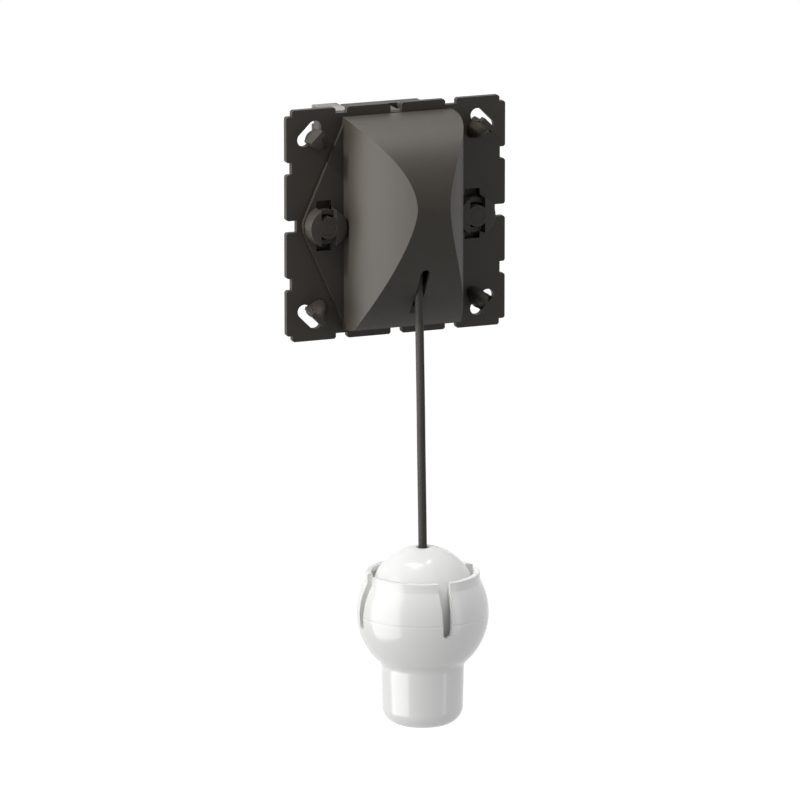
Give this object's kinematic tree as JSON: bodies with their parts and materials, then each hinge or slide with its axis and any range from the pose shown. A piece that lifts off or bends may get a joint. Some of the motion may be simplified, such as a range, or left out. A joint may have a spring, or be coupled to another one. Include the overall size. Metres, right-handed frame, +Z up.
{
  "type": "pull cord switch",
  "caption": "Flush wall pull cord switch: square slotted mounting plate, curved hood, hanging cord and round slit knob, with a bell crank and bridging contact behind.",
  "frame": {"origin": "centre of the mounting plate's back face, on the wall plane", "axes": "+X to the right seen from the front, +Y into the wall, +Z up"},
  "size_m": [0.071, 0.0699, 0.1872],
  "materials": {
    "dark_plastic": "fine matt anthracite moulding",
    "housing_plastic": "matt dark grey moulding",
    "light_grey_plastic": "matt light grey moulding",
    "white_plastic": "polished white moulding",
    "cord_fibre": "fine dark round cord",
    "natural_nylon": "unpigmented nylon",
    "zinc_steel": "bright zinc",
    "contact_brass": "rolled strip",
    "contact_silver": "silver alloy"
  },
  "bodies": {
    "base": {"mounting_frame": "dark_plastic", "hood_cover": "dark_plastic", "hood_pin_left": "zinc_steel", "hood_pin_right": "zinc_steel", "switch_housing": "housing_plastic", "rear_cover": "housing_plastic", "cover_screw_upper": "zinc_steel", "cover_screw_lower": "zinc_steel", "lever_pin": "zinc_steel", "fixed_contact_left": "contact_brass", "fixed_contact_right": "contact_brass", "fixed_point_left": "contact_silver", "fixed_point_right": "contact_silver", "return_spring": "zinc_steel", "clamp_spring_upper": "zinc_steel", "clamp_spring_lower": "zinc_steel"},
    "anchor": {"cord_nipple": "contact_brass"},
    "crank": {"cord_lever": "natural_nylon"},
    "push": {"plunger": "natural_nylon", "contact_bridge": "contact_brass", "bridge_contact_left": "contact_silver", "bridge_contact_right": "contact_silver"},
    "cord_top": {"cord_upper": "cord_fibre"},
    "cord_free": {"pull_cord": "cord_fibre", "cord_knot": "cord_fibre"},
    "knob": {"knob_cup": "white_plastic", "knob_dome": "white_plastic"},
    "release_top": {"release_lever_upper": "light_grey_plastic"},
    "release_bottom": {"release_lever_lower": "light_grey_plastic"}
  },
  "joints": [
    {"name": "cord_pull", "type": "slide", "parent": "base", "child": "anchor", "axis": [0, 0, -1], "range_m": [0, 0.006], "stiffness_N_per_m": 250, "springref_m": -0.004},
    {"name": "lever_turn", "type": "hinge", "parent": "base", "child": "crank", "pos_m": [0, -0.00718, -0.005], "axis": [1, 0, 0], "range_deg": [0, 27.78]},
    {"name": "plunger_push", "type": "slide", "parent": "base", "child": "push", "axis": [0, 1, 0], "range_m": [0, 0.00384], "deforming": ["return_spring"]},
    {"name": "cord_swing", "type": "hinge", "parent": "anchor", "child": "cord_top", "pos_m": [0, -0.0195, -0.002], "axis": [-1, 0, 0], "range_deg": [-1.6, 25]},
    {"name": "cord_sway", "type": "hinge", "parent": "cord_top", "child": "cord_free", "pos_m": [0, -0.02035, -0.0225], "axis": [0, 1, 0], "range_deg": [-25, 25]},
    {"name": "knob_turn", "type": "hinge", "parent": "cord_free", "child": "knob", "pos_m": [0, -0.0233, -0.1172], "axis": [0, 0, 1], "continuous": true},
    {"name": "release_upper", "type": "slide", "parent": "base", "child": "release_top", "axis": [0, -1, 0], "range_m": [0, 0.0018], "stiffness_N_per_m": 500, "springref_m": -0.0005, "deforming": ["clamp_spring_upper"]},
    {"name": "release_lower", "type": "slide", "parent": "base", "child": "release_bottom", "axis": [0, -1, 0], "range_m": [0, 0.0018], "stiffness_N_per_m": 500, "springref_m": -0.0005, "deforming": ["clamp_spring_lower"]}
  ],
  "couplings": [
    {"joint": "lever_turn", "follows": "cord_pull", "rad_per_m": 80.8},
    {"joint": "plunger_push", "follows": "cord_pull", "ratio": 0.64}
  ]
}
